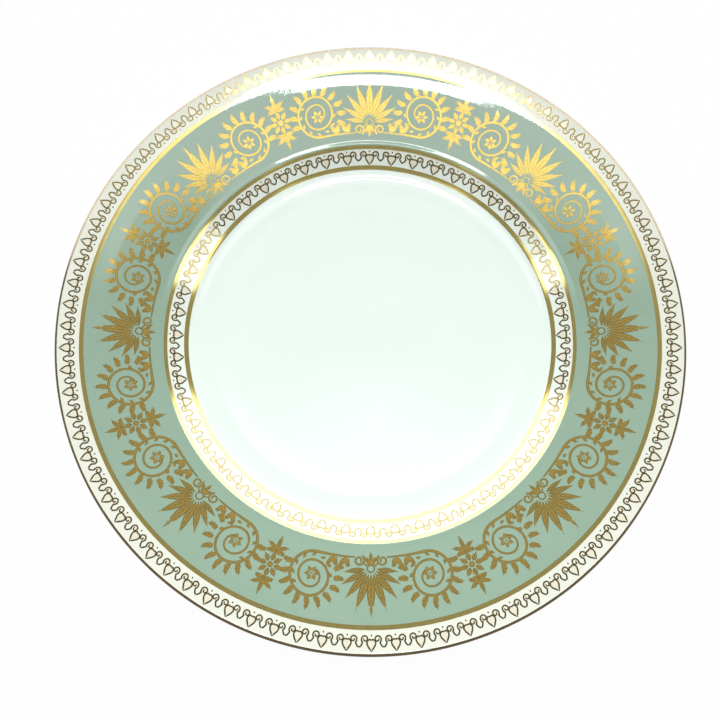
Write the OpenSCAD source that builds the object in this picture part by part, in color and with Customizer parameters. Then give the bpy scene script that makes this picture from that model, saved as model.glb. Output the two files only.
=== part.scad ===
// Gilt china dinner plate: a cast bone-china body, its glaze, a sage enamel ground and the gilding.
// Each coat is laid on the one below it. The plate stands on its foot ring at z = 0, axis along Z.

/* [Plate] */
// Diameter over the gilded edge
plate_d = 273; // [250:0.5:330]
// Height from the table to the top of the edge
plate_h = 26; // [25:0.1:31.5]
// Depth of the flat middle of the well below the top of the edge
well_depth = 19.8; // [18.8:0.1:20.8]
// Diameter at which the well meets the slope of the verge
well_d = 160; // [130:0.5:164]
// Width over which the floor of the well rises round its flat middle
floor_w = 22.5; // [21:0.5:24]
// Height of that rise
floor_rise = 0.87; // [0.7:0.01:0.95]
// Width of the nearly level ring of the floor, above the foot ring
level_w = 7.3; // [6:0.1:9]
// Rise across that ring
level_rise = 0.08; // [0:0.01:0.2]
// Width of the outer part of the well, which rises to its edge
dish_w = 7.7; // [7:0.1:9]
// Height of that rise
dish_rise = 0.9; // [0.6:0.1:1.1]
// Width of the sloping verge between well and rim
verge_w = 12.6; // [11.2:0.1:15.2]
// Height of the verge
verge_rise = 5.85; // [5:0.05:7]
// Width of the low step along the top of the verge
step_w = 1.8; // [1.7:0.1:3]
// Height of that step
step_rise = 0.4; // [0.3:0.1:0.5]
// Width of the flatter part of the rim, along the edge
tip_w = 13.8; // [11:0.1:16]
// Slope of that flatter part, in degrees
tip_slope = 11; // [9:0.5:13]

/* [China body] */
// Thickness of the floor of the well
floor_t = 3.8; // [3:0.1:4.8]
// Thickness of the rim where it leaves the verge
rim_t = 3.3; // [2.5:0.1:4.2]
// Thickness of the rounded edge
edge_t = 2.3; // [1.7:0.1:3]
// Round where the floor starts to rise
floor_fillet = 930; // [700:10:1000]
// Round between that rise and the level ring
level_fillet = 110; // [60:10:120]
// Round between the level ring and the outer part of the well
dish_fillet = 50; // [30:5:55]
// Round between well and verge
well_fillet = 17; // [12:0.5:18]
// Round between verge and step
verge_fillet = 4; // [2:0.5:4.5]
// Round between step and rim
step_fillet = 9; // [5:0.5:10]
// Round where the rim turns flatter
rim_fillet = 95; // [60:5:100]

/* [Foot ring] */
// How far the foot ring's outer side stands outside the well's edge
foot_reach = 0.5; // [-3:0.1:2]
// Width of the foot ring at the table
foot_w = 3.8; // [3:0.1:5]
// Height of the foot ring's outer corner above the ceiling of the recess
shoulder_rise = 1.2; // [0.8:0.1:1.6]
// How much the foot ring widens upwards on each side
foot_draft = 0.5; // [0.1:0.1:1]
// Round along the two edges that meet the table, and round the recess
foot_round = 0.8; // [0.4:0.1:1]
// Round between the foot ring and the underside of the verge
shoulder_fillet = 2; // [1:0.5:3]
// Height above the table at which the glaze stops
glaze_stop = 1.2; // [1.1:0.1:1.6]

/* [Coats] */
// Thickness of the glaze
glaze_t = 0.15; // [0.1:0.01:0.3]
// Thickness of the enamel ground
enamel_t = 0.06; // [0.04:0.01:0.15]
// Thickness of the gilding
gilt_t = 0.06; // [0.04:0.01:0.15]

/* [Gold lines] */
// Width of the gilding on the face side of the edge
edge_line_w = 1.3; // [1.3:0.1:2.5]
// Width of the pale band inside the edge
outer_band_w = 8.9; // [7:0.1:11]
// Width of the gold line outside the ground
outer_line_w = 1.8; // [0.8:0.1:3]
// How far the ground runs down the verge, measured flat
ground_drop = 0.5; // [0.3:0.1:1.5]
// Width of the gold line inside the ground
inner_line_w = 1.5; // [0.8:0.1:2.5]
// Width of the gold line at the well
well_line_w = 1.9; // [1:0.1:2.5]
// Distance from the well's edge to that line
well_line_gap = 1.8; // [0.2:0.1:2.2]

/* [Borders] */
// Number of repeats of the outer border
outer_border_count = 84; // [60:2:100]
// Number of repeats of the border on the verge
inner_border_count = 52; // [40:2:64]
// Clear margin on both sides of the outer border
outer_border_margin = 2.1; // [1:0.1:2.4]
// Clear margin on both sides of the border on the verge
inner_border_margin = 1.1; // [0.6:0.1:1.5]
// Width of the drawn lines of the borders
border_line_w = 0.5; // [0.35:0.05:0.6]

/* [Gilt ornament] */
// Number of palmettes round the rim
motif_count = 8; // [6:1:12]
// Clear margin between the ornament and the edges of the ground
motif_margin = 2.2; // [1.5:0.1:4]
// Number of leaves on each side of a palmette's middle leaf
side_leaves = 4; // [2:1:5]
// Number of petals of a rosette
petal_count = 8; // [5:1:10]
// Width of the stems
stem_w = 0.9; // [0.6:0.1:1.1]

/* [Hidden] */
$fn = 96;
// A leaf is a thin slice of two large circles, which need finer facets.
leaf_facets = 192;

// Facets of the round stretches of the profile
fillet_steps = 3;
dish_steps = 4;
rim_steps = 5;
lip_steps = 5;

// The bare body, inside the glaze and the gilding
body_r = plate_d / 2 - glaze_t - gilt_t;
body_top = plate_h - glaze_t - gilt_t;
floor_z = plate_h - well_depth - glaze_t;
recess_z = floor_z - floor_t;

// Radii of the bands on the face, from the edge inwards
edge_line_r = plate_d / 2 - edge_line_w;
outer_line_r = edge_line_r - outer_band_w;
ground_outer_r = outer_line_r - outer_line_w;
ground_inner_r = well_d / 2 + verge_w - ground_drop;
inner_line_r = ground_inner_r - inner_line_w;
well_line_outer_r = well_d / 2 + well_line_gap + well_line_w;
well_line_inner_r = well_d / 2 + well_line_gap;

// ---- Profile of the bare body -------------------------------------------------------------

function unit(v) = v / norm(v);
function left_of(v) = [-v[1], v[0]];
// Mitred normal, on the left, where direction u turns into direction v
function mitre(u, v) = (left_of(u) + left_of(v)) / (1 + u * v);
// Point of the line through p along dir, at radius r
function on_line(p, dir, r) = p + dir * (r - p[0]) / dir[0];
// Round of radius r, in n steps, at corner b of the line a-b-c
function round_corner(a, b, c, r, n) =
    let (u = unit(b - a), v = unit(c - b),
         turn = atan2(u[0] * v[1] - u[1] * v[0], u * v), side = sign(turn),
         centre = b - u * r * tan(abs(turn) / 2) + left_of(u) * r * side)
    [for (i = [0:n]) let (t = turn * i / n)
        centre - r * side * (left_of(u) * cos(t) - u * sin(t))];

// Face of the body, from the axis out to the rounded edge
floor_corner = [well_d / 2 - dish_w - level_w - floor_w, floor_z];
level_corner = floor_corner + [floor_w, floor_rise];
dish_corner = level_corner + [level_w, level_rise];
well_corner = dish_corner + [dish_w, dish_rise];
verge_corner = well_corner + [verge_w, verge_rise];
step_corner = verge_corner + [step_w, step_rise];
lip_r = edge_t / 2;
lip_centre = [body_r - lip_r, body_top - lip_r];
tip_dir = [cos(tip_slope), sin(tip_slope)];
tip_top = lip_centre + lip_r * left_of(tip_dir);
break_corner = on_line(tip_top, tip_dir, body_r - tip_w);
face_points = concat(
    [[0, floor_z]],
    round_corner([0, floor_z], floor_corner, level_corner, floor_fillet, dish_steps),
    round_corner(floor_corner, level_corner, dish_corner, level_fillet, fillet_steps),
    round_corner(level_corner, dish_corner, well_corner, dish_fillet, dish_steps),
    round_corner(dish_corner, well_corner, verge_corner, well_fillet, dish_steps),
    round_corner(well_corner, verge_corner, step_corner, verge_fillet, fillet_steps),
    round_corner(verge_corner, step_corner, break_corner, step_fillet, fillet_steps),
    round_corner(step_corner, break_corner, tip_top, rim_fillet, rim_steps)
);

// Rounded edge, from the face to the underside
lip_points = [for (i = [0:2 * lip_steps]) let (a = 90 + tip_slope - 90 * i / lip_steps)
    lip_centre + lip_r * [cos(a), sin(a)]];

// Underside, from the edge in to the foot ring
tip_bottom = lip_centre - lip_r * left_of(tip_dir);
under_break = on_line(tip_bottom, tip_dir, body_r - tip_w);
under_verge = verge_corner
    - rim_t * mitre(unit(verge_corner - well_corner), unit(break_corner - verge_corner));
foot_out = [well_d / 2 + foot_reach, 0];
foot_in = foot_out - [foot_w, 0];
foot_top = [foot_out[0] + foot_draft, recess_z + shoulder_rise];
recess_corner = [foot_in[0] - foot_draft, recess_z];
back_points = concat(
    round_corner(tip_bottom, under_break, under_verge, rim_fillet, rim_steps),
    round_corner(under_break, under_verge, foot_top, verge_fillet + rim_t, fillet_steps),
    round_corner(under_verge, foot_top, foot_out, shoulder_fillet, fillet_steps)
);

// Foot ring at the table, then the recess inside it
foot_points = concat(
    round_corner(foot_top, foot_out, foot_in, foot_round, fillet_steps),
    round_corner(foot_out, foot_in, recess_corner, foot_round, fillet_steps)
);
recess_points = concat(
    round_corner(foot_in, recess_corner, [0, recess_z], foot_round, fillet_steps),
    [[0, recess_z]]
);
body_points = concat(face_points, lip_points, back_points, foot_points, recess_points);

// Places in body_points: outermost point of the edge, ends of the edge and of the underside,
// first point of the recess, and the last point
rim_end = len(face_points) + lip_steps;
lip_end = len(face_points) + 2 * lip_steps;
back_end = lip_end + len(back_points);
recess_start = back_end + len(foot_points) + 1;
last_point = len(body_points) - 1;

// ---- Coats on the body --------------------------------------------------------------------

function step_dir(i) = unit(body_points[i + 1] - body_points[i]);
// The profile raised by t over the bare body
function raised(t) = [for (i = [0:last_point]) body_points[i] + t * (
    i == 0 ? [0, 1] : i == last_point ? [0, -1] : mitre(step_dir(i - 1), step_dir(i)))];
// Points i to j of a profile
function stretch(pts, i, j) = [for (k = [i:j]) pts[k]];
function reversed(pts) = [for (i = [len(pts) - 1:-1:0]) pts[i]];
// Point of a profile's step i at height z
function at_height(pts, i, z) =
    pts[i] + (pts[i + 1] - pts[i]) * (z - pts[i][1]) / (pts[i + 1][1] - pts[i][1]);
// Point of a profile's face at radius r
function at_radius(pts, r) = [for (i = [0:rim_end - 1]) if (pts[i][0] <= r && pts[i + 1][0] > r)
    on_line(pts[i], pts[i + 1] - pts[i], r)][0];
// Part of a profile's face from radius a to radius b
function face_part(pts, a, b) = concat(
    [at_radius(pts, a)],
    [for (i = [0:rim_end]) if (pts[i][0] > a && pts[i][0] < b) pts[i]],
    [at_radius(pts, b)]
);
// Section of a coat on the face, between heights low and high over the body and radii a and b
function coat(low, high, a, b) =
    concat(face_part(raised(low), a, b), reversed(face_part(raised(high), a, b)));
// Part of a profile from radius a on the face, round the edge, to the underside
function lip_part(pts, a) = concat(
    [at_radius(pts, a)],
    [for (i = [0:lip_end]) if (i > rim_end || pts[i][0] > a) pts[i]]
);

module gold_line(a, b) {
    color("goldenrod") rotate_extrude() polygon(coat(glaze_t, glaze_t + gilt_t, a, b));
}

// ---- Flat shapes, drawn in plan with X outwards and Y along the band -----------------------

module leaf(length, width) {
    r = (length * length / 4 + width * width / 4) / width;
    translate([length / 2, 0]) intersection() {
        translate([0, r - width / 2]) circle(r, $fn = leaf_facets);
        translate([0, width / 2 - r]) circle(r, $fn = leaf_facets);
    }
}

module ring(r, w) {
    difference() {
        circle(r + w / 2);
        circle(r - w / 2);
    }
}

module half_ring(r, w, side) {
    intersection() {
        ring(r, w);
        translate([-2 * r, min(0, 4 * r * side)]) square(4 * r);
    }
}

// Arc of a ring from angle a to angle b, less than half a turn apart
module arc(r, w, a, b) {
    far = 2 * (r + w) / cos((b - a) / 2);
    intersection() {
        ring(r, w);
        polygon([[0, 0], far * [cos(a), sin(a)], far * [cos(b), sin(b)]]);
    }
}

// Ring left open by a gap that is centred on angle a
module open_ring(r, w, a, gap) {
    difference() {
        ring(r, w);
        rotate(a) polygon([[0, 0], 2 * r * [cos(gap / 2), -sin(gap / 2)], 2 * r * [cos(gap / 2), sin(gap / 2)]]);
    }
}

// Spiral of half rings that starts at [-r, 0], each one less than the last by step
module spiral(r, step, w, turns) {
    for (k = [0:turns - 1])
        translate([k % 2 * step, 0]) half_ring(r - k * step, w, 1 - 2 * (k % 2));
}

// Lays the flat children on the face, from height low to high over the body, within an angle
module lay_on_face(low, high, r_in, r_out, spread) {
    intersection() {
        rotate([0, 0, -spread]) rotate_extrude(angle = 2 * spread) polygon(coat(low, high, r_in, r_out));
        linear_extrude(height = 2 * plate_h) children();
    }
}

// Lays a small flat child on the glaze's own slope at radius r, u along the band from angle 0
module tile(r, u) {
    glaze = raised(glaze_t);
    here = at_radius(glaze, r);
    further = at_radius(glaze, r + border_line_w);
    slope = atan2(further[1] - here[1], further[0] - here[0]);
    rotate([0, 0, u / r * 180 / PI]) translate([r, 0, here[1]]) rotate([0, -slope, 0])
        linear_extrude(height = gilt_t) children();
}

// ---- Border pattern: two volutes, a bud between them and a swag to the next pair ------------

// Size of the pattern as drawn at scale 1, from the bud's tip to the bead, and along the band
border_design_h = 4.7;
border_design_w = 9.8;
outer_border_r = (edge_line_r + outer_line_r) / 2;
inner_border_r = (inner_line_r + well_line_outer_r) / 2;
outer_border_scale = min((outer_band_w - 2 * outer_border_margin) / border_design_h,
    2 * PI * outer_border_r / outer_border_count / border_design_w);
inner_border_scale = min(
    (inner_line_r - well_line_outer_r - 2 * inner_border_margin) / border_design_h,
    2 * PI * inner_border_r / inner_border_count / border_design_w);

// Places and sizes in one repeat at scale 1, with x towards the bud's tip and y along the band
volute_r = 0.95;
volute_x = -0.75;
volute_y = 1.75;
volute_gap = 70;
volute_turn = 35;
bud_length = 3.25;
bud_width = 1.5;
bud_start = -0.9;
bead_r = 0.45;
bead_x = -1.8;
swag_drop = 0.9;
swag_x = 0.4;
swag_gap = 0.35;

// In the shapes below a repeat has scale s, on a band whose middle has radius r. The bud points
// away from the axis when way is 1, and towards it when way is -1.
module around(count) {
    for (i = [0:count - 1]) rotate([0, 0, i * 360 / count]) children();
}

module volutes(r, s, way) {
    for (side = [-1, 1]) tile(r + way * s * volute_x, side * s * volute_y)
        rotate(way > 0 ? 0 : 180) open_ring(s * volute_r, border_line_w, -way * side * volute_turn, volute_gap);
}

module bud(r, s, way) {
    tile(r + way * s * bud_start, 0) rotate(way > 0 ? 0 : 180) leaf(s * bud_length, s * bud_width);
    tile(r + way * s * bead_x, 0) circle(s * bead_r);
}

// Swag to the next of count repeats
module swag(r, s, way, count) {
    pitch = 2 * PI * r / count;
    chord = pitch - 2 * s * (volute_y + volute_r + swag_gap);
    drop = s * swag_drop;
    swag_r = (chord * chord / 4 + drop * drop) / (2 * drop);
    half = asin(chord / 2 / swag_r);
    tile(r + way * s * swag_x, pitch / 2) rotate(way > 0 ? 0 : 180)
        translate([drop - swag_r, 0]) arc(swag_r, border_line_w, -half, half);
}

// ---- Ornament on the ground: palmettes, and mirrored spirals that meet at rosettes -----------

// Size of one repeat as drawn at scale 1: across the ground's clear height, and along its middle
motif_design_h = 28;
motif_design_w = 85;
motif_pitch = 360 / motif_count;
motif_r = (ground_outer_r + ground_inner_r) / 2;
motif_scale = min((ground_outer_r - ground_inner_r - 2 * motif_margin) / motif_design_h,
    2 * PI * motif_r / motif_count / motif_design_w);
stem = motif_scale * stem_w;

palmette_heart = -6;
leaf_start = 2.4;
fan_angle = 84;
long_leaf = 16.8;
short_leaf = 9;
scroll_place = [-10.6, 4.7];
scroll_r = 1.9;
root_bud = [-8.2, 5.2, 2.4];
spiral_place = [-1.5, 25];
spiral_r = 9;
spiral_step = 1.75;
spiral_turns = 4;
eye_r = 1.5;
stem_start = 8.6;
crest_leaves = 5;
crest_step = 26;
crest_leaf = [5, 2.3];
root_leaves = [12.5, 17.5];
root_leaf = [4.6, 1.8];
rosette_place = 0.5;
petal_start = 1.7;
petal_size = [3.6, 2];
heart_r = 1.2;
spray_start = 6.2;
spray_size = [7, 2.4];
spray_angle = 38;

// Puts its flat children v outwards from the middle of the ground and u along it
module at_place(v, u) {
    rotate(u * motif_scale / motif_r * 180 / PI) translate([motif_r + v * motif_scale, 0]) children();
}

module on_ground() {
    for (i = [0:motif_count - 1]) rotate([0, 0, i * motif_pitch])
        lay_on_face(glaze_t + enamel_t, glaze_t + enamel_t + gilt_t,
            ground_inner_r, ground_outer_r, motif_pitch / 2 + 2) children();
}

module both_sides() {
    children();
    mirror([0, 1]) children();
}

// Leaf of given length and width that starts at distance d in direction a
module fan_leaf(d, a, length, width) {
    rotate(a) translate([motif_scale * d, 0]) leaf(motif_scale * length, motif_scale * width);
}

module fan_of_leaves() {
    step = fan_angle / side_leaves;
    at_place(palmette_heart, 0) for (k = [-side_leaves:side_leaves]) {
        length = long_leaf - (long_leaf - short_leaf) * pow(abs(k) / side_leaves, 1.3);
        fan_leaf(leaf_start, k * step, length, 1.4 * (leaf_start + length / 2) * sin(step / 2));
    }
}

module base_scrolls() {
    both_sides() at_place(scroll_place[0], scroll_place[1])
        open_ring(motif_scale * scroll_r, stem, 60, 80);
    at_place(root_bud[0], 0) fan_leaf(0, 180, root_bud[1], root_bud[2]);
}

module stems() {
    both_sides() {
        at_place(spiral_place[0], spiral_place[1]) {
            spiral(motif_scale * spiral_r, motif_scale * spiral_step, stem, spiral_turns);
            translate([motif_scale * spiral_step / 2, 0]) circle(motif_scale * eye_r);
        }
        along = motif_scale / motif_r * 180 / PI;
        arc(motif_r + motif_scale * (spiral_place[0] - spiral_r), stem,
            along * stem_start, along * spiral_place[1]);
    }
}

module stem_leaves() {
    both_sides() {
        at_place(spiral_place[0], spiral_place[1])
            for (k = [0:crest_leaves - 1])
                fan_leaf(spiral_r + 0.9, crest_step * (k - (crest_leaves - 1) / 2), crest_leaf[0], crest_leaf[1]);
        for (u = root_leaves) at_place(spiral_place[0] - spiral_r, u)
            fan_leaf(1, 40, root_leaf[0], root_leaf[1]);
    }
}

module rosette() {
    rotate(motif_pitch / 2) translate([motif_r + motif_scale * rosette_place, 0]) children();
}

module petals() {
    rosette() {
        for (k = [0:petal_count - 1])
            fan_leaf(petal_start, k * 360 / petal_count, petal_size[0], petal_size[1]);
        for (way = [0, 180], side = [-1, 0, 1])
            fan_leaf(spray_start, way + side * spray_angle, spray_size[0] - 2 * abs(side), spray_size[1]);
    }
}

// ---- The plate, piece by piece --------------------------------------------------------------

module china_body() {
    color("ivory") rotate_extrude() polygon(body_points);
}

// Glaze over the face, round the edge and down the back to the foot ring
module face_glaze() {
    coated = raised(glaze_t);
    color("mintcream") rotate_extrude() polygon(concat(
        stretch(body_points, 0, back_end), [at_height(body_points, back_end, glaze_stop)],
        [at_height(coated, back_end, glaze_stop)], reversed(stretch(coated, 0, back_end))));
}

// Glaze inside the foot ring
module recess_glaze() {
    coated = raised(glaze_t);
    wall = recess_start - 1;
    color("mintcream") rotate_extrude() polygon(concat(
        [at_height(body_points, wall, glaze_stop)], stretch(body_points, recess_start, last_point),
        reversed(stretch(coated, recess_start, last_point)), [at_height(coated, wall, glaze_stop)]));
}

module sage_ground() {
    color("darkseagreen") rotate_extrude()
        polygon(coat(glaze_t, glaze_t + enamel_t, ground_inner_r, ground_outer_r));
}

module edge_gilding() {
    color("goldenrod") rotate_extrude() polygon(concat(
        lip_part(raised(glaze_t), edge_line_r),
        reversed(lip_part(raised(glaze_t + gilt_t), edge_line_r))));
}

module outer_gold_line() { gold_line(ground_outer_r, outer_line_r); }
module inner_gold_line() { gold_line(inner_line_r, ground_inner_r); }
module well_gold_line() { gold_line(well_line_inner_r, well_line_outer_r); }

module outer_border_volutes() {
    color("darkgoldenrod") around(outer_border_count) volutes(outer_border_r, outer_border_scale, 1);
}
module outer_border_buds() {
    color("gold") around(outer_border_count) bud(outer_border_r, outer_border_scale, 1);
}
module outer_border_swags() {
    color("darkgoldenrod") around(outer_border_count)
        swag(outer_border_r, outer_border_scale, 1, outer_border_count);
}
module inner_border_volutes() {
    color("darkgoldenrod") around(inner_border_count) volutes(inner_border_r, inner_border_scale, -1);
}
module inner_border_buds() {
    color("gold") around(inner_border_count) bud(inner_border_r, inner_border_scale, -1);
}
module inner_border_swags() {
    color("darkgoldenrod") around(inner_border_count)
        swag(inner_border_r, inner_border_scale, -1, inner_border_count);
}

module palmette_leaves() { color("gold") on_ground() fan_of_leaves(); }
module palmette_scrolls() { color("darkgoldenrod") on_ground() base_scrolls(); }
module spiral_stems() { color("darkgoldenrod") on_ground() stems(); }
module spiral_leaves() { color("gold") on_ground() stem_leaves(); }
module rosette_petals() { color("gold") on_ground() petals(); }
module rosette_hearts() {
    color("darkgoldenrod") on_ground() rosette() circle(motif_scale * heart_r);
}

china_body();
face_glaze();
recess_glaze();
sage_ground();
edge_gilding();
outer_gold_line();
inner_gold_line();
well_gold_line();
outer_border_volutes();
outer_border_buds();
outer_border_swags();
inner_border_volutes();
inner_border_buds();
inner_border_swags();
palmette_leaves();
palmette_scrolls();
spiral_stems();
spiral_leaves();
rosette_petals();
rosette_hearts();
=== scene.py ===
import bisect
import math

import bmesh
import bpy
from mathutils import Matrix, Vector


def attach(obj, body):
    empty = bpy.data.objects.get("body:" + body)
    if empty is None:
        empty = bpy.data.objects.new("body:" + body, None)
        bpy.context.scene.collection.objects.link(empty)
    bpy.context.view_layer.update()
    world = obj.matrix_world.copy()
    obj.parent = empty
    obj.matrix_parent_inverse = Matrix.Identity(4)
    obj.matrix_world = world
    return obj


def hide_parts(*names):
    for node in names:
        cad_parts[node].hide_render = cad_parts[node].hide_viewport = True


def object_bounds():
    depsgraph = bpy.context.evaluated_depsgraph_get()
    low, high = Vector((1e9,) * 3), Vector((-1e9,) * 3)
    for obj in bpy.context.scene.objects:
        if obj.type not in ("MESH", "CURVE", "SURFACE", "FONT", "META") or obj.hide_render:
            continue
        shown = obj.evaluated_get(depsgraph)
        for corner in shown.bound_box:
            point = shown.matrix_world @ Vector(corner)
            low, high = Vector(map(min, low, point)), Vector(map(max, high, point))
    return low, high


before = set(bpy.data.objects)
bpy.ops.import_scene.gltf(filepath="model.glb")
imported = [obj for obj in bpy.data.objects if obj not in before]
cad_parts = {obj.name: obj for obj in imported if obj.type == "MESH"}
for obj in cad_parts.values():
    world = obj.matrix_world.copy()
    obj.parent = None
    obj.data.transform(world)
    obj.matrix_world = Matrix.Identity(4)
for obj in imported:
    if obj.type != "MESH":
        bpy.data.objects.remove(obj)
cad_low, cad_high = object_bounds()


# ---- China body --------------------------------------------------------------------------
# The body is one piece of bone china: a flat bat of clay pressed over a spinning mould by a
# shaped blade, then fired hard. All that shows of it bare is the standing face of the foot
# ring, which is wiped and ground so that the plate doesn't stick to the kiln shelf.

mm = 0.001
round_steps = 320
fillet_steps = 10
glaze_t, enamel_t, gilt_t = 0.15, 0.06, 0.06
edge_r = min(-cad_low[0], cad_high[0]) / mm - 0.01 - glaze_t - gilt_t
top_z = cad_high[2] / mm - 0.01 - glaze_t - gilt_t
well_z, recess_z, glaze_stop = 6.05, 2.25, 1.2

# Corners of the blade's outline, as radius, height and round, from the axis out over the face
face_corners = [
    (0, well_z, 0), (42.5, well_z, 930), (65, well_z + 0.87, 110), (72.3, well_z + 0.95, 50),
    (80, well_z + 1.85, 22), (92.6, well_z + 7.41, 4), (94.4, well_z + 7.81, 9),
    (118.3, top_z - 4.09, 60), (124.6, top_z - 2.29, 50),
]
edge_corners = [(edge_r, top_z + 0.26, 1.12), (edge_r, top_z - 2.1, 1.12)]
back_corners = [(122.5, 21, 95), (93.8, 10.67, 7.3), (81, 3.45, 2)]
foot_corners = [(80.5, 0, 0.8), (76.7, 0, 0.8)]
recess_corners = [(76.2, recess_z, 0.8), (0, recess_z, 0)]


def blade_outline(corners):
    """Line through corners in the XZ plane, each corner turned to its own round."""
    line = bmesh.new()
    places = [Vector((r, 0, z)) * mm for r, z, fillet in corners]
    tip = line.verts.new(places[0])

    def run_to(place):
        further = line.verts.new(place)
        line.edges.new((tip, further))
        return further

    for before, corner, after, (r, z, fillet) in zip(places, places[1:], places[2:], corners[1:]):
        ahead, onward = (corner - before).normalized(), (after - corner).normalized()
        turn = math.atan2(ahead.x * onward.z - ahead.z * onward.x, ahead.dot(onward))
        tip = run_to(corner - ahead * fillet * mm * math.tan(abs(turn) / 2))
        to_left = Vector((-ahead.z, 0, ahead.x)) * math.copysign(fillet * mm, turn)
        arc = bmesh.ops.spin(line, geom=[tip], cent=tip.co + to_left, axis=(0, -1, 0),
                             dvec=(0, 0, 0), angle=turn, steps=fillet_steps, use_merge=False,
                             use_duplicate=False)
        tip = next(item for item in arc["geom_last"] if isinstance(item, bmesh.types.BMVert))
    run_to(places[-1])
    return line


def turn_round(line, top_faces_up=True):
    """Spins a line about the plate's axis, with normals out of the plate."""
    bmesh.ops.spin(line, geom=line.verts[:] + line.edges[:], cent=(0, 0, 0), axis=(0, 0, 1),
                   dvec=(0, 0, 0), angle=math.tau, steps=round_steps, use_merge=True,
                   use_duplicate=False)
    bmesh.ops.remove_doubles(line, verts=line.verts, dist=0.001 * mm)
    bmesh.ops.recalc_face_normals(line, faces=line.faces)
    line.normal_update()
    if (max(line.verts, key=lambda vert: vert.co.z).normal.z > 0) != top_faces_up:
        bmesh.ops.reverse_faces(line, faces=line.faces)
        line.normal_update()
    return line


def piece(name, bm, finish, slot, *nodes, smooth=True):
    """One finished piece of the plate, in place of CAD nodes."""
    mesh = bpy.data.meshes.new(name)
    bm.to_mesh(mesh)
    bm.free()
    if smooth:
        mesh.shade_smooth()
        mesh.set_sharp_from_angle(angle=math.radians(35))
    mesh.materials.append(finish)
    thing = bpy.data.objects.new(name, mesh)
    bpy.context.scene.collection.objects.link(thing)
    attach(thing, "root")
    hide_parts(*nodes)


class Term:
    """A node's output. Operators on it add Math nodes, and add() makes any other node."""

    def __init__(self, tree, socket=None):
        self.tree, self.socket = tree, socket

    def add(self, kind, settings=None, inputs=None, output=0):
        node = self.tree.nodes.new("ShaderNode" + kind)
        for name, setting in (settings or {}).items():
            setattr(node, name, setting)
        for name, value in (inputs or {}).items():
            if isinstance(value, Term):
                self.tree.links.new(value.socket, node.inputs[name])
            else:
                node.inputs[name].default_value = value
        return Term(self.tree, node.outputs[output])

    def math(self, operation, first, second):
        return self.add("Math", {"operation": operation}, {0: first, 1: second})

    def __add__(self, other):
        return self.math("ADD", self, other)

    def __sub__(self, other):
        return self.math("SUBTRACT", self, other)

    def __rsub__(self, other):
        return self.math("SUBTRACT", other, self)

    def __mul__(self, other):
        return self.math("MULTIPLY", self, other)


def srgb(red, green, blue):
    """Linear colour of 0-255 sRGB values."""
    return tuple(((v / 255 + 0.055) / 1.055) ** 2.4 for v in (red, green, blue)) + (1.0,)


def new_finish(name):
    """A new material, the start of its shader maths, and its object coordinates."""
    material = bpy.data.materials.new(name)
    material.use_nodes = True
    material.node_tree.nodes.clear()
    start = Term(material.node_tree)
    return material, start, start.add("TexCoord", output=3)


def set_surface(start, surface):
    """Makes that shader the surface of the material."""
    output = start.tree.nodes.new("ShaderNodeOutputMaterial")
    start.tree.links.new(surface.socket, output.inputs["Surface"])


def mottle(place, size, detail=2.0):
    """Cloudy noise from 0 to 1 with blotches of that size in millimetres."""
    return place.add("TexNoise", inputs={"Vector": place, "Scale": 1 / (size * mm),
                                         "Detail": detail, "Roughness": 0.5})


def mixed(factor, colour_a, colour_b):
    """Colour that goes from the first to the second with the factor."""
    return factor.add("Mix", {"data_type": "RGBA"}, {0: factor, 6: colour_a, 7: colour_b},
                      output=2)


def raised_by(height, depth):
    """Normal of a surface with that height map, its full height in millimetres."""
    return height.add("Bump", inputs={"Height": height, "Distance": depth * mm, "Strength": 1.0})


def outward_fade(place, start_r, end_r):
    """Rises smoothly from 0 to 1 between two distances from the plate's axis in millimetres."""
    flat = place.add("VectorMath", {"operation": "MULTIPLY"}, {0: place, 1: (1, 1, 0)})
    radius = flat.add("VectorMath", {"operation": "LENGTH"}, {0: flat}, output=1)
    return radius.add("MapRange", {"interpolation_type": "SMOOTHSTEP"},
                      {"Value": radius, 1: start_r * mm, 2: end_r * mm})


biscuit, start, place = new_finish("bone_china_biscuit")
speckle = mottle(place, 0.6, 4.0)
set_surface(start, start.add("BsdfPrincipled", inputs={
    "Base Color": mixed(speckle, srgb(226, 220, 206), srgb(240, 236, 224)),
    "Roughness": 0.75, "Normal": raised_by(speckle, 0.01),
}))

body = turn_round(blade_outline(
    face_corners + edge_corners + back_corners + foot_corners + recess_corners))
piece("biscuit_body", body, biscuit, "china_body", "china_body")


# ---- Glaze -------------------------------------------------------------------------------
# The clear glaze is sprayed on and fired to a thin glossy coat. It covers the face, the edge
# and the back down to the foot ring, and the recess inside the ring. Over the well it looks
# faintly mint, and creamier on the rim.


def coat(line, thickness, over=0.0, top_faces_up=True):
    """Shell of that thickness in millimetres round the turned line, raised over it."""
    skin = turn_round(line, top_faces_up)
    for vert in skin.verts:
        vert.co += vert.normal * (over + thickness) * mm
    bmesh.ops.solidify(skin, geom=skin.faces[:], thickness=thickness * mm)
    bmesh.ops.recalc_face_normals(skin, faces=skin.faces)
    return skin


glaze, start, place = new_finish("china_glaze")
clouds = mottle(place, 22, 3.0)
well_tint = mixed(clouds, srgb(239, 254, 245), srgb(243, 255, 248))
rim_tint = mixed(clouds, srgb(236, 240, 224), srgb(241, 244, 230))
ripple = mottle(place, 9, 1.0) * 0.7 + mottle(place, 1.6, 2.0) * 0.3
set_surface(start, start.add("BsdfPrincipled", inputs={
    "Base Color": mixed(outward_fade(place, 80, 93), well_tint, rim_tint),
    "Roughness": mottle(place, 4) * 0.02 + 0.015, "IOR": 1.5, "Normal": raised_by(ripple, 0.008),
}))

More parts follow.
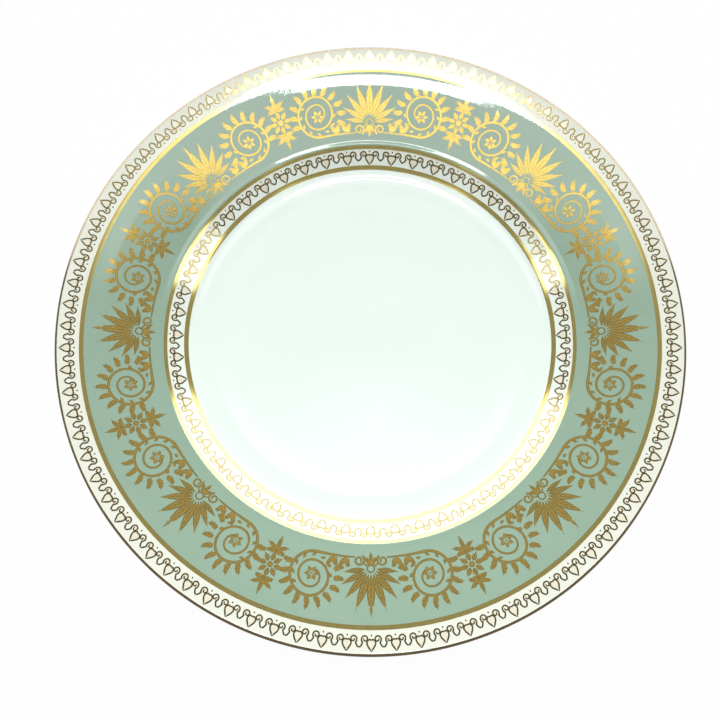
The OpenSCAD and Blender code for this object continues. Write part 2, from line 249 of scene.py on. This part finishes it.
face_line = blade_outline(face_corners + edge_corners + back_corners + [(80.67, glaze_stop, 0)])
recess_line = blade_outline([(76.43, glaze_stop, 0)] + recess_corners)
piece("face_glaze_coat", coat(face_line, glaze_t), glaze, "glaze", "face_glaze")
piece("recess_glaze_coat", coat(recess_line, glaze_t, 0, False), glaze, "glaze", "recess_glaze")


# ---- Sage ground -------------------------------------------------------------------------
# The ground is a soft sage-green enamel, dusted on to a ring of oil and fired over the glaze.
# It has sunk in less than the glaze has, so its skin is a little rippled like orange peel.

ground_inner_r, ground_outer_r = 92.1, 124.5


def face_strip(inner, outer, loops=1):
    """Outline of the face between two radii, cut into at least that many steps."""
    line = blade_outline(face_corners + edge_corners)
    for r, keep_inside in ((inner, False), (outer, True)):
        bmesh.ops.bisect_plane(line, geom=line.verts[:] + line.edges[:], dist=1e-8,
                               plane_co=(r * mm, 0, 0), plane_no=(1, 0, 0),
                               clear_outer=keep_inside, clear_inner=not keep_inside)
    bmesh.ops.delete(line, context="VERTS",
                     geom=[vert for vert in line.verts if vert.co.z < (well_z - 1) * mm])
    if loops > 1:
        bmesh.ops.subdivide_edges(line, edges=line.edges[:], cuts=loops - 1)
    return line


enamel, start, place = new_finish("sage_enamel")
clouds = mottle(place, 14, 4.0)
peel = mottle(place, 1.5, 2.0) * 0.75 + mottle(place, 5, 1.0) * 0.25
peel = peel * outward_fade(place, 97, 112)
set_surface(start, start.add("BsdfPrincipled", inputs={
    "Base Color": mixed(clouds, srgb(143, 173, 151), srgb(153, 181, 160)),
    "Roughness": mottle(place, 3) * 0.02 + 0.02, "IOR": 1.5, "Normal": raised_by(peel, 0.012),
}))

ground = coat(face_strip(ground_inner_r, ground_outer_r), enamel_t, glaze_t)
piece("sage_enamel_ground", ground, enamel, "sage_ground", "sage_ground")


# ---- Gold lines and gilt edge ------------------------------------------------------------
# The lines are drawn with a brush of burnishing gold while the plate spins, so each is a band
# slightly thicker along its middle. The edge is gilt with a narrow band that wraps over the
# round. After firing the gold is rubbed to a soft shine, with fine wear.

gold_lines = [
    ("outer_gold_band", "outer_gold_line", 124.5, 126.3),
    ("inner_gold_band", "inner_gold_line", 90.6, 92.1),
    ("well_gold_band", "well_gold_line", 81.8, 83.7),
]
edge_gilt_r = 135.2


def gold_finish(name, bright, dull, roughness, metallic):
    """Burnished gold, dull in blotches where it is worn."""
    material, start, place = new_finish(name)
    wear = mottle(place, 2.5, 5.0)
    brushed = mottle(place, 0.5, 3.0)
    set_surface(start, start.add("BsdfPrincipled", inputs={
        "Base Color": mixed(wear, bright, dull), "Metallic": wear * -0.15 + metallic,
        "Roughness": wear * 0.03 + roughness, "Normal": raised_by(brushed, 0.003),
    }))
    return material


line_gold = gold_finish("burnished_gold", srgb(154, 142, 86), srgb(132, 120, 68), 0.07, 0.95)


def domed_band(inner, outer):
    """Gold band over the glaze, with a low dome across its width."""
    band = turn_round(face_strip(inner, outer, loops=4))
    for vert in band.verts:
        across = 2 * (vert.co.xy.length / mm - inner) / (outer - inner) - 1
        vert.co += vert.normal * (glaze_t + gilt_t * (1.1 - 0.1 * across ** 2)) * mm
    bmesh.ops.solidify(band, geom=band.faces[:], thickness=gilt_t * mm)
    bmesh.ops.recalc_face_normals(band, faces=band.faces)
    return band


for name, node, inner, outer in gold_lines:
    piece(name, domed_band(inner, outer), line_gold, "gold_lines", node)

edge_line = blade_outline(face_corners + edge_corners + [(130, 22.47, 0)])
bmesh.ops.bisect_plane(edge_line, geom=edge_line.verts[:] + edge_line.edges[:], dist=1e-8,
                       plane_co=(edge_gilt_r * mm, 0, 0), plane_no=(1, 0, 0), clear_inner=True)
edge_gold = gold_finish("rubbed_edge_gold", srgb(108, 94, 68), srgb(80, 68, 46), 0.08, 0.9)
piece("gilt_edge", coat(edge_line, gilt_t, glaze_t), edge_gold, "gold_lines", "edge_gilding")


# ---- Outer border ------------------------------------------------------------------------
# The borders and the ornament come to the plate as printed transfers, fired on: fine lines in
# dark gold, with flat gold or a cream wash laid inside them. The outer border repeats a small
# bud between two volutes, and a swag runs from each pair to the next.

outer_border_r, outer_border_count = 130.75, 84
fill_h, line_h, vein_h = 0.01, 0.016, 0.022  # heights of gold over its coat


def in_place(strokes, turn=0.0, x=0.0, y=0.0, side=1):
    """Strokes with their Y multiplied by side, turned by degrees and moved."""
    c, s = math.cos(math.radians(turn)), math.sin(math.radians(turn))
    return [[(x + c * px - s * side * py, y + s * px + c * side * py, w) for px, py, w in line]
            for line in strokes]


def arc_stroke(x, y, start, sweep, radius, end_radius, w, end_w, steps):
    """Stroke round a centre, with its radius and half width changing evenly."""
    parts = [k / steps for k in range(steps + 1)]
    return [(x + (radius + (end_radius - radius) * t) * math.cos(math.radians(start + sweep * t)),
             y + (radius + (end_radius - radius) * t) * math.sin(math.radians(start + sweep * t)),
             w + (end_w - w) * t) for t in parts]


def raised_strokes(strokes, height):
    """Square-edged ridges of that height in millimetres along strokes of (x, y, half width)."""
    section = bpy.data.curves.new("ridge_section", "CURVE")
    corners = section.splines.new("POLY")
    corners.points.add(3)
    for point, (x, y) in zip(corners.points, ((-1, -1), (1, -1), (1, 1), (-1, 1))):
        point.co = (x, y, 0, 1)
    corners.use_cyclic_u = True
    section_holder = bpy.data.objects.new("ridge_section", section)
    curve = bpy.data.curves.new("strokes", "CURVE")
    curve.dimensions = "3D"
    curve.twist_mode = "Z_UP"
    curve.bevel_mode, curve.bevel_object, curve.use_fill_caps = "OBJECT", section_holder, True
    for line in strokes:
        spline = curve.splines.new("POLY")
        spline.use_smooth = False
        spline.points.add(len(line) - 1)
        for point, (x, y, w) in zip(spline.points, line):
            point.co, point.radius = (x, y, 0, 1), w
    holder = bpy.data.objects.new("strokes", curve)
    bpy.context.scene.collection.objects.link(holder)
    mesh = bpy.data.meshes.new_from_object(
        holder.evaluated_get(bpy.context.evaluated_depsgraph_get()))
    ridges = bmesh.new()
    ridges.from_mesh(mesh)
    bpy.data.objects.remove(holder)
    bpy.data.objects.remove(section_holder)
    bpy.data.curves.remove(curve)
    bpy.data.curves.remove(section)
    bpy.data.meshes.remove(mesh)
    for vert in ridges.verts:
        vert.co.z = math.copysign(height, vert.co.z)
    return ridges


face_points = sorted(
    (vert.co.x, vert.co.z) for vert in blade_outline(face_corners + edge_corners).verts
    if vert.co.z > (well_z - 1) * mm)
face_radii = [r for r, z in face_points]


def height_over_face(r, over):
    """Height at a radius of what lies that far over the body's face, all in metres."""
    after = bisect.bisect(face_radii, r)
    (r0, z0), (r1, z1) = face_points[after - 1], face_points[after]
    slope = (z1 - z0) / (r1 - r0)
    return z0 + slope * (r - r0) + over * math.hypot(1, slope)


def laid(strokes, height, coats, middle_r, count, first_turn=0.0):
    """Strokes laid over the coats round radius middle_r, and repeated all round the plate."""
    ridges = raised_strokes(strokes, height)
    for vert in ridges.verts:
        over = (coats + vert.co.z) * mm
        vert.co = Vector((middle_r + vert.co.x, vert.co.y, 0)) * mm
        vert.co.z = height_over_face(vert.co.xy.length, over)
    bmesh.ops.rotate(ridges, verts=ridges.verts, cent=(0, 0, 0),
                     matrix=Matrix.Rotation(first_turn, 3, "Z"))
    bmesh.ops.spin(ridges, geom=ridges.verts[:] + ridges.edges[:] + ridges.faces[:],
                   cent=(0, 0, 0), axis=(0, 0, 1), dvec=(0, 0, 0),
                   angle=math.tau * (count - 1) / count, steps=count - 1, use_merge=False,
                   use_duplicate=True)
    bmesh.ops.recalc_face_normals(ridges, faces=ridges.faces)
    return ridges


def both_sides(strokes):
    """Strokes, and their mirror image about the X axis."""
    return strokes + in_place(strokes, side=-1)


ink = gold_finish("drawn_dark_gold", srgb(98, 90, 58), srgb(78, 72, 44), 0.06, 1.0)
cream, start, place = new_finish("cream_gold_wash")
grain = mottle(place, 0.8, 3.0)
set_surface(start, start.add("BsdfPrincipled", inputs={
    "Base Color": mixed(grain, srgb(230, 226, 204), srgb(238, 234, 214)),
    "Roughness": 0.12, "Normal": raised_by(grain, 0.004),
}))

border_w = 0.34
bud_side = [(3.6, 0, 0.12), (2.6, 0.65, border_w), (1.4, 1.45, border_w), (0.3, 1.8, border_w),
            (-0.6, 1.4, border_w), (-1.0, 0.7, border_w), (-0.75, 0, border_w)]
volute = arc_stroke(-1.15, 2.5, 38, 440, 1.6, 0.42, border_w, 0.28, 16)
swag = [(-0.1, 3.45, border_w), (0.75, 3.8, border_w), (1.5, 4.3, border_w),
        (1.85, 4.89, border_w)]
bead = [(-2.95, 0, 0.05), (-2.5, 0, 0.36), (-2.05, 0, 0.05)]
bud_fill = [(3.3, 0, 0.05), (2.3, 0, 0.5), (1.2, 0, 1.4), (0.2, 0, 1.7), (-0.6, 0, 1.3),
            (-0.95, 0, 0.6)]
volute_fill = arc_stroke(-1.15, 2.5, -75, -300, 0.8, 0.7, 0.72, 0.65, 8)

for name, node, strokes in (
        ("outer_volutes", "outer_border_volutes", both_sides([volute])),
        ("outer_buds", "outer_border_buds", both_sides([bud_side]) + [bead]),
        ("outer_swags", "outer_border_swags", both_sides([swag]))):
    piece(name, laid(strokes, line_h, glaze_t, outer_border_r, outer_border_count), ink,
          "border_linework", node, smooth=False)
piece("outer_bud_wash", laid([bud_fill] + both_sides([volute_fill]), fill_h, glaze_t,
                             outer_border_r, outer_border_count), cream, "border_linework",
      "outer_border_buds", smooth=False)


# ---- Border on the verge -----------------------------------------------------------------
# The same transfer as at the edge goes round the verge, cut to a smaller radius. It is laid
# the other way round, with its buds towards the well, and its lines are as thick.

inner_border_r, inner_border_count = 87.15, 52
inner_border_height, inner_border_width = 0.92, 1.0764  # of the outer border's


def for_verge(strokes):
    """The outer border's strokes, turned round and scaled for the verge."""
    return [[(-x * inner_border_height, y * inner_border_width, w) for x, y, w in line]
            for line in strokes]


for name, node, strokes in (
        ("verge_volutes", "inner_border_volutes", both_sides([volute])),
        ("verge_buds", "inner_border_buds", both_sides([bud_side]) + [bead]),
        ("verge_swags", "inner_border_swags", both_sides([swag]))):
    piece(name, laid(for_verge(strokes), line_h, glaze_t, inner_border_r, inner_border_count),
          ink, "border_linework", node, smooth=False)
piece("verge_bud_wash", laid(for_verge([bud_fill] + both_sides([volute_fill])), fill_h, glaze_t,
                             inner_border_r, inner_border_count), cream, "border_linework",
      "inner_border_buds", smooth=False)


# ---- Palmettes ---------------------------------------------------------------------------
# Eight fans of nine leaves stand on the sage ground, points outwards. Each leaf is solid gold
# with an outline, a midrib and veins drawn in darker olive gold. Two small scrolls and three
# ragged leaves hold the fan together at its foot.

ornament_r, ornament_count, on_enamel = 108.3, 8, glaze_t + enamel_t


def leaf_veins(length, width, veins=0, w=0.17):
    """Midrib and veins of a leaf."""
    rib = [(0, 0, w), (length * 0.45, 0, w), (length * 0.8, 0, w * 0.6)]
    slants = [[(length * at, 0, w * 0.8),
               (length * (at + 0.13), width * 0.3 * math.sin(math.pi * (at + 0.1)), w / 2)]
              for at in (0.18 + 0.55 * k / veins for k in range(veins))]
    return both_sides(slants) + [rib]


def leaf_fill(length, width, reach=1.0, steps=6):
    """Solid part of a leaf, from its foot to that share of its length."""
    return [[(length * reach * t, 0,
              max(0.04, width / 2 * math.sin(math.pi * (reach * t) ** 0.85) * (1 - 0.5 * t ** 4)))
             for t in (k / steps for k in range(steps + 1))]]


def ragged_leaf(length, width, curl, lobes=4, steps=9):
    """Long lobed leaf as solid strokes: a tapering axis that curls by degrees, and its lobes."""
    axis, x, y = [], 0.0, 0.0
    for k in range(steps + 1):
        t = k / steps
        axis.append((x, y, max(0.06, width * 0.26 * (1 - t) ** 0.6)))
        x += length / steps * math.cos(math.radians(curl * t))
        y += length / steps * math.sin(math.radians(curl * t))
    strokes = [axis]
    for k in range(lobes):
        t = 0.1 + 0.68 * k / lobes
        x, y, w = axis[round(t * steps)]
        reach = width * (0.62 - 0.36 * t)
        for side in (1, -1):
            tip = math.radians(curl * t + side * 42)
            bent = tip - side * 0.35
            strokes.append([(x, y, reach * 0.25),
                            (x + reach * 0.55 * math.cos(tip), y + reach * 0.55 * math.sin(tip),
                             reach * 0.26),
                            (x + reach * 1.25 * math.cos(bent), y + reach * 1.25 * math.sin(bent),
                             0.05)])
    return strokes


def inside(strokes):
    """The part of solid strokes that their drawn outline leaves to be filled."""
    return [[(x, y, max(0.05, w * 0.85 - 0.24)) for x, y, w in line] for line in strokes]


ornament_ink = gold_finish("drawn_olive_gold", srgb(138, 126, 76), srgb(116, 106, 62), 0.06, 1.0)
leaf_gold = gold_finish("flat_gold", srgb(172, 145, 76), srgb(157, 132, 64), 0.07, 0.95)

palmette_leaves, palmette_veins = [], []
for k in range(-4, 5):
    length = 16.8 - 7.8 * (abs(k) / 4) ** 1.3
    width = 1.8 * (2.4 + length / 2) * math.sin(math.radians(10.5))
    turn = 21 * k
    x, y = -6 + 2.4 * math.cos(math.radians(turn)), 2.4 * math.sin(math.radians(turn))
    solid = leaf_fill(length, width)
    palmette_leaves += in_place(solid, turn, x, y)
    palmette_veins += in_place(leaf_veins(length, width, 4), turn, x, y)
knot = both_sides([arc_stroke(-6, 0, 0, 180, 1.5, 1.5, 0.3, 0.3, 9)])
base_scrolls = both_sides([arc_stroke(-9.4, 4.9, 215, 470, 2.3, 0.7, 0.5, 0.34, 18),
                           arc_stroke(-9.4, 0, 20, 60, 2.6, 3.2, 0.4, 0.2, 4)])
for turn, length in ((180, 5.4), (140, 4.2), (-140, 4.2)):
    base_scrolls += in_place(ragged_leaf(length, 2.8, 0), turn, -7.6, 0)

for name, node, strokes, height, finish in (
        ("palmette_outlines", "palmette_leaves", palmette_leaves + knot, fill_h, ornament_ink),
        ("palmette_gilding", "palmette_leaves", inside(palmette_leaves), line_h, leaf_gold),
        ("palmette_veins", "palmette_leaves", palmette_veins, vein_h, ornament_ink),
        ("palmette_scroll_outlines", "palmette_scrolls", base_scrolls, fill_h, ornament_ink),
        ("palmette_scroll_gilding", "palmette_scrolls", inside(base_scrolls), line_h, leaf_gold)):
    piece(name, laid(strokes, height, on_enamel, ornament_r, ornament_count), finish,
          "gilt_ornament", node, smooth=False)


# ---- Spiral scrolls ----------------------------------------------------------------------
# A stem runs out along the ground from each side of a palmette and winds up into a spiral with
# a small flower in its eye. Ragged leaves curl round the spiral's crest and off the stem's foot.


def along(strokes, u, v):
    """Strokes moved out by v and carried round the plate by u along the ornament's middle."""
    turn = u / ornament_r
    c, s = math.cos(turn), math.sin(turn)
    return [[(c * (ornament_r + v + x) - s * y - ornament_r, s * (ornament_r + v + x) + c * y, w)
             for x, y, w in line] for line in strokes]


spiral_u, spiral_v, spiral_r, spiral_step = 25, -1.5, 9, 1.75
winding = []
for k in range(4):
    r = spiral_r - k * spiral_step
    winding += arc_stroke(k % 2 * spiral_step, 0, 180 - 180 * k, -180, r, r, 0.62 - 0.06 * k,
                          0.56 - 0.06 * k, 16 - 3 * k)[1 if k else 0:]
stem = []
for k in range(9):
    turn = (7.4 + (spiral_u - 7.4) * k / 8) / ornament_r
    r = ornament_r + spiral_v - spiral_r
    stem.append((r * math.cos(turn) - ornament_r, r * math.sin(turn), 0.3 + 0.32 * k / 8))
eye_flower = []
for turn in range(20, 380, 60):
    eye_flower += in_place(leaf_fill(2.5, 1.7), turn, 0.7 * math.cos(math.radians(turn)),
                           0.7 * math.sin(math.radians(turn)))
eye_heart = [[(-0.3, 0, 0.2), (0, 0, 0.55), (0.3, 0, 0.2)]]
stems = [stem] + along([winding], spiral_u, spiral_v)

leaflets = along(eye_flower, spiral_u, spiral_v)
details = along(eye_heart, spiral_u, spiral_v)
for k in range(-5, 6):
    turn = 22 * k
    c, s = math.cos(math.radians(turn)), math.sin(math.radians(turn))
    size = 5.6 - 0.22 * abs(k)
    leaflets += along(in_place(ragged_leaf(size, 3.4, 50), turn - 30, 9.4 * c, 9.4 * s), spiral_u,
                      spiral_v)
    details += along(in_place(leaf_veins(size * 0.7, 1, 0, 0.14), turn - 24, 9.4 * c, 9.4 * s),
                     spiral_u, spiral_v)
for k in range(9):
    turn = 60 + 30 * k
    c, s = math.cos(math.radians(turn)), math.sin(math.radians(turn))
    leaflets += along(in_place(leaf_fill(2.4, 1.3), turn - 130, 8.4 * c, 8.4 * s), spiral_u,
                      spiral_v)
for u in (11.0, 16.5):
    for turn, length in ((50, 5.6), (-5, 4.0)):
        leaflets += along(in_place(ragged_leaf(length, 3.2, -35), turn), u, -9.8)

for name, node, strokes, height, finish in (
        ("spiral_stem_outlines", "spiral_stems", stems, fill_h, ornament_ink),
        ("spiral_stem_gilding", "spiral_stems", inside(stems), line_h, leaf_gold),
        ("spiral_leaf_outlines", "spiral_leaves", leaflets, fill_h, ornament_ink),
        ("spiral_leaf_gilding", "spiral_leaves", inside(leaflets), line_h, leaf_gold),
        ("spiral_leaf_veins", "spiral_leaves", details, vein_h, ornament_ink)):
    piece(name, laid(both_sides(strokes), height, on_enamel, ornament_r, ornament_count), finish,
          "gilt_ornament", node, smooth=False)


# ---- Rosettes ----------------------------------------------------------------------------
# Between the spirals stands a rosette of eight petals round a ringed heart, with a spray of
# ragged leaves outwards and another inwards.

petals, petal_veins = [], []
for k in range(8):
    turn = 45 * k
    x, y = 1.5 * math.cos(math.radians(turn)), 1.5 * math.sin(math.radians(turn))
    petals += in_place(leaf_fill(4.0, 2.2), turn, x, y)
    petal_veins += in_place(leaf_veins(3.6, 1.6, 2, 0.14), turn, x, y)
for outward in (0, 180):
    for turn, length, curl in ((0, 7.4, 0), (40, 6, 40), (-40, 6, -40), (80, 4.4, 40),
                               (-80, 4.4, -40)):
        x = 5.6 * math.cos(math.radians(outward))
        petals += in_place(ragged_leaf(length, 3.2, curl), outward + turn, x, 0)
        petal_veins += in_place(leaf_veins(length * 0.7, 1, 0, 0.14), outward + turn, x, 0)
hearts = [arc_stroke(0, 0, 0, 360, 0.7, 0.7, 0.6, 0.6, 14)]
heart_rings = [arc_stroke(0, 0, 0, 360, 0.9, 0.9, 0.16, 0.16, 14)]

half_pitch = math.pi / ornament_count
for name, node, strokes, height, finish in (
        ("rosette_outlines", "rosette_petals", petals, fill_h, ornament_ink),
        ("rosette_gilding", "rosette_petals", inside(petals), line_h, leaf_gold),
        ("rosette_veins", "rosette_petals", petal_veins, vein_h, ornament_ink),
        ("rosette_centres", "rosette_hearts", hearts, vein_h, leaf_gold),
        ("rosette_rings", "rosette_hearts", heart_rings, vein_h + 0.008, ornament_ink)):
    piece(name, laid(strokes, height, on_enamel, ornament_r + 0.5, ornament_count, half_pitch),
          finish, "gilt_ornament", node, smooth=False)


# ---- Stand, light and view ---------------------------------------------------------------

# The plate stands on white paper in a white room. A ring lamp hangs high over its far side,
# a broad soft light round it brightens the gold of the far rim, and a window beyond and two
# small lights beside it show in the glaze of the verge.

floor_half = 1.5
floor = bmesh.new()
bmesh.ops.create_grid(floor, x_segments=1, y_segments=1, size=floor_half)
floor_mesh = bpy.data.meshes.new("floor")
floor.to_mesh(floor_mesh)
floor.free()
paper, start, place = new_finish("white_paper")
plain_white = 0.96  # the rest of the paper's look is shaded, so that it keeps the shadow
camera_ray, glossy_ray, transmission_ray = (start.add("LightPath", output=name) for name in (
    "Is Camera Ray", "Is Glossy Ray", "Is Transmission Ray"))
seen = camera_ray + glossy_ray + transmission_ray
lit = start.add("BsdfDiffuse", inputs={"Color": (0.9, 0.9, 0.9, 1)})
bright = start.add("Emission", inputs={"Color": (1, 1, 1, 1), "Strength": 1.0})
set_surface(start, start.add("MixShader", inputs={0: seen * plain_white, 1: lit, 2: bright}))
floor_mesh.materials.append(paper)
stand = bpy.data.objects.new("floor", floor_mesh)
bpy.context.scene.collection.objects.link(stand)

world = bpy.data.worlds.new("studio")
bpy.context.scene.world = world
world.use_nodes = True
world.node_tree.nodes.clear()
start = Term(world.node_tree)


def smooth(value, low, high, level_low, level_high):
    """Goes smoothly from one level to the other while the value goes from low to high."""
    return value.add("MapRange", {"interpolation_type": "SMOOTHSTEP"}, {
        "Value": value, 1: low, 2: high, 3: level_low, 4: level_high})


def round_light(middle, heading, outer, inner, level):
    """Soft round light in the room about a heading, between two angles in degrees."""
    facing = start.add("VectorMath", {"operation": "DOT_PRODUCT"}, {
        0: middle, 1: Vector(heading).normalized()}, output=1)
    return smooth(facing, math.cos(math.radians(outer)), math.cos(math.radians(inner)), 0.0,
                  level)


direction = start.add("TexCoord", output=0)
away = direction.add("SeparateXYZ", inputs={0: direction}, output=1)
either_side = direction.add("VectorMath", {"operation": "ABSOLUTE"}, {0: direction})
sideways = either_side.add("SeparateXYZ", inputs={0: either_side})
raised = either_side.add("VectorMath", {"operation": "DOT_PRODUCT"}, {
    0: either_side, 1: (-0.2, 0, 1)}, output=1)
window = smooth(away, 0.41, 0.49, 0.0, 8.5) * smooth(raised, 0.68, 0.72, 1.0, 0.0)
overhead = (smooth(sideways, 0.24, 0.34, 2.8, 0.0) * smooth(away, 0.17, 0.25, 1.0, 0.0)
            * smooth(away, -0.28, -0.2, 0.0, 1.0))
beside = round_light(either_side, (0.536, 0.053, 0.842), 4.5, 2, 8.0)
room_seen = window + overhead + beside + 1
room_light = smooth(away, -0.45, 0.15, 0.02, 1.38)
camera_ray, glossy_ray, transmission_ray = (start.add("LightPath", output=name) for name in (
    "Is Camera Ray", "Is Glossy Ray", "Is Transmission Ray"))
reflected = glossy_ray + transmission_ray
level = camera_ray + reflected * room_seen + (1 - camera_ray - reflected) * room_light
backdrop = start.add("Background", inputs={"Color": (1, 1, 1, 1), "Strength": level})
output = start.tree.nodes.new("ShaderNodeOutputWorld")
start.tree.links.new(backdrop.socket, output.inputs["Surface"])

lamp_place = Vector((0, 0.81, 10))
lamp_outer, lamp_inner, lamp_watts = 1.02, 0.56, 225
lamp_data = bpy.data.lights.new("ring_lamp", "AREA")
lamp_data.shape = "DISK"
lamp_data.size = 2 * lamp_outer
lamp_data.energy = lamp_watts
lamp_data.use_nodes = True
start = Term(lamp_data.node_tree)
spot = start.add("NewGeometry", output=5)
centred = start.add("VectorMath", {"operation": "SUBTRACT"}, {0: spot, 1: (0.5, 0.5, 0)})
flat = start.add("VectorMath", {"operation": "MULTIPLY"}, {0: centred, 1: (1, 1, 0)})
from_middle = start.add("VectorMath", {"operation": "LENGTH"}, {0: flat}, output=1)
ring = start.math("GREATER_THAN", from_middle, 0.5 * lamp_inner / lamp_outer)
glow = lamp_data.node_tree.nodes["Emission"]
lamp_data.node_tree.links.new(ring.socket, glow.inputs["Strength"])
lamp = bpy.data.objects.new("ring_lamp", lamp_data)
lamp.location = lamp_place
lamp.rotation_euler = lamp_place.to_track_quat("Z", "Y").to_euler()
bpy.context.scene.collection.objects.link(lamp)

reach, height_angle = 2.75 * 0.1365, math.radians(76.0)  # 2.75 plate radii
target = Vector((-0.0045, -0.0150, 0.02385))
camera_data = bpy.data.cameras.new("camera")
camera_data.lens = 43.6
camera = bpy.data.objects.new("camera", camera_data)
camera.location = target + reach * Vector((0, -math.cos(height_angle), math.sin(height_angle)))
camera.rotation_euler = (target - camera.location).to_track_quat("-Z", "Y").to_euler()
bpy.context.scene.collection.objects.link(camera)
bpy.context.scene.camera = camera
bpy.context.scene.view_settings.view_transform = "Standard"
